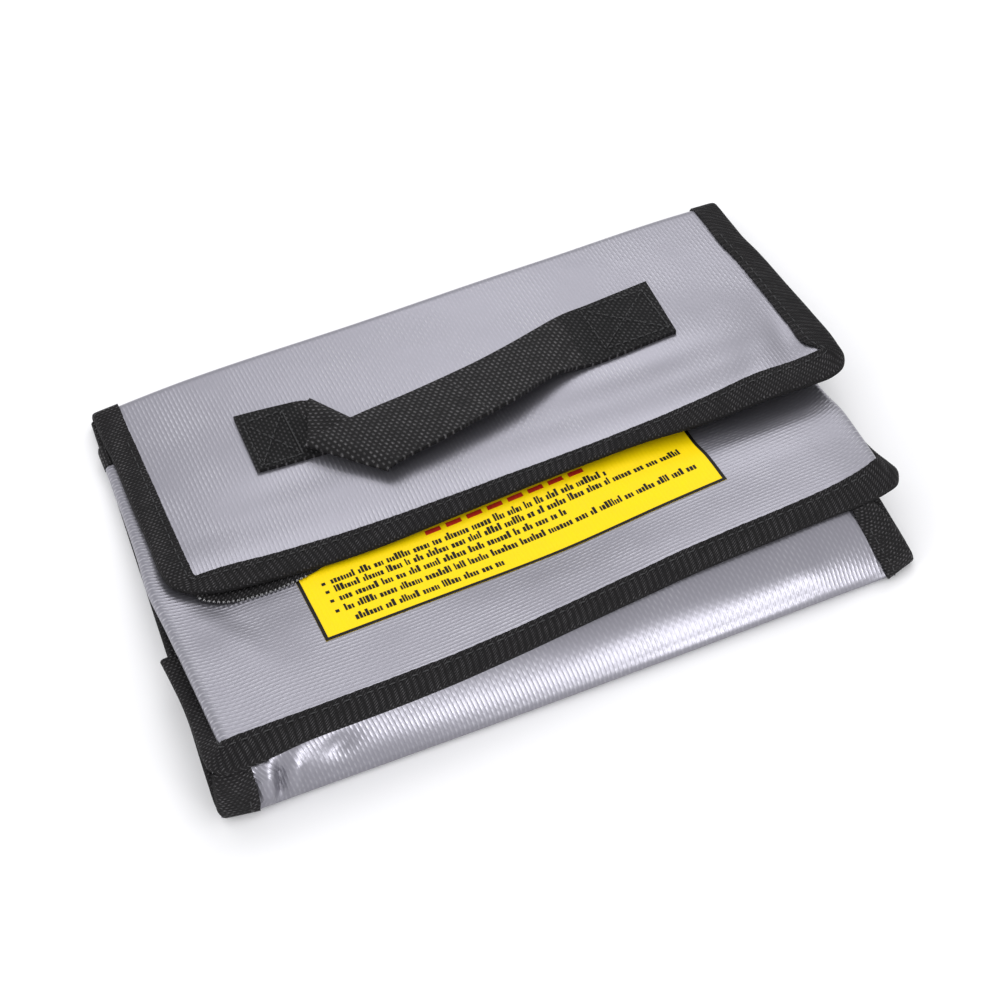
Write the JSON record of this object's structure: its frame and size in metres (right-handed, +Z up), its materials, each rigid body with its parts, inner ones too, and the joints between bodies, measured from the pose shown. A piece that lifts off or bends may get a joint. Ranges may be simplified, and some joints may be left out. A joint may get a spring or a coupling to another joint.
{
  "type": "fireproof battery storage bag",
  "caption": "Flat fireproof cloth bag for model batteries, with a hook-and-loop flap, folding side gussets, bound seams and a sewn webbing handle.",
  "frame": {"origin": "on the resting surface, under the centre of the bounding box", "axes": "+X along the long side, +Y from the bottom end towards the mouth fold, +Z up from the back panel that the bag lies on"},
  "size_m": [0.22, 0.1523, 0.0222],
  "materials": {
    "coated_cloth": "silver grey polymer coat over woven glass cloth, satin",
    "inner_cloth": "uncoated woven glass cloth, matt",
    "binding_tape": "black ribbed polypropylene binding tape",
    "strap_webbing": "black polypropylene webbing",
    "hook_fastener": "black hook tape",
    "loop_fastener": "black loop tape, fuzzy",
    "sewing_thread": "black polyester thread",
    "notice_ink": "yellow screen print",
    "border_ink": "black screen print"
  },
  "bodies": {
    "bag": {"back_panel": "coated_cloth", "back_lining": "inner_cloth", "mouth_fold_band": "coated_cloth", "bottom_panel": "coated_cloth", "bottom_lining": "inner_cloth", "left_gusset_lower": "coated_cloth", "right_gusset_lower": "coated_cloth", "left_end_binding": "binding_tape", "right_end_binding": "binding_tape", "left_seam_binding": "binding_tape", "right_seam_binding": "binding_tape", "seam_threads": "sewing_thread"},
    "front": {"front_panel": "coated_cloth", "front_lining": "inner_cloth", "left_gusset_upper": "coated_cloth", "right_gusset_upper": "coated_cloth", "mouth_binding": "binding_tape", "bottom_seam_binding": "binding_tape", "bottom_seam_thread": "sewing_thread", "loop_tape": "loop_fastener", "notice_panel": "notice_ink", "notice_border": "border_ink"},
    "flap": {"flap_panel": "coated_cloth", "flap_lining": "inner_cloth", "flap_binding_left": "binding_tape", "flap_binding_right": "binding_tape", "flap_binding_front": "binding_tape", "flap_threads": "sewing_thread", "hook_tape": "hook_fastener", "handle_end_left": "strap_webbing", "handle_end_right": "strap_webbing", "handle_stitch_left": "sewing_thread", "handle_stitch_right": "sewing_thread"},
    "handle": {"handle_strap": "strap_webbing"}
  },
  "joints": [
    {"name": "flap_open", "type": "hinge", "parent": "bag", "child": "flap", "pos_m": [0.0015, 0.0716, 0.0054], "axis": [-0.9994, -0.0338, 0.0047], "range_deg": [0, 150]},
    {"name": "mouth_open", "type": "hinge", "parent": "bag", "child": "front", "pos_m": [-0.00503, -0.05696, 0.02036], "axis": [0.9975, 0.0702, -0.0095], "range_deg": [0, 10]},
    {"name": "handle_lift", "type": "slide", "parent": "flap", "child": "handle", "axis": [0, 0.1367, 0.9906], "range_m": [0, 0.015]}
  ],
  "couplings": [
    {"joint": "mouth_open", "follows": "flap_open", "ratio": 0.066667}
  ]
}
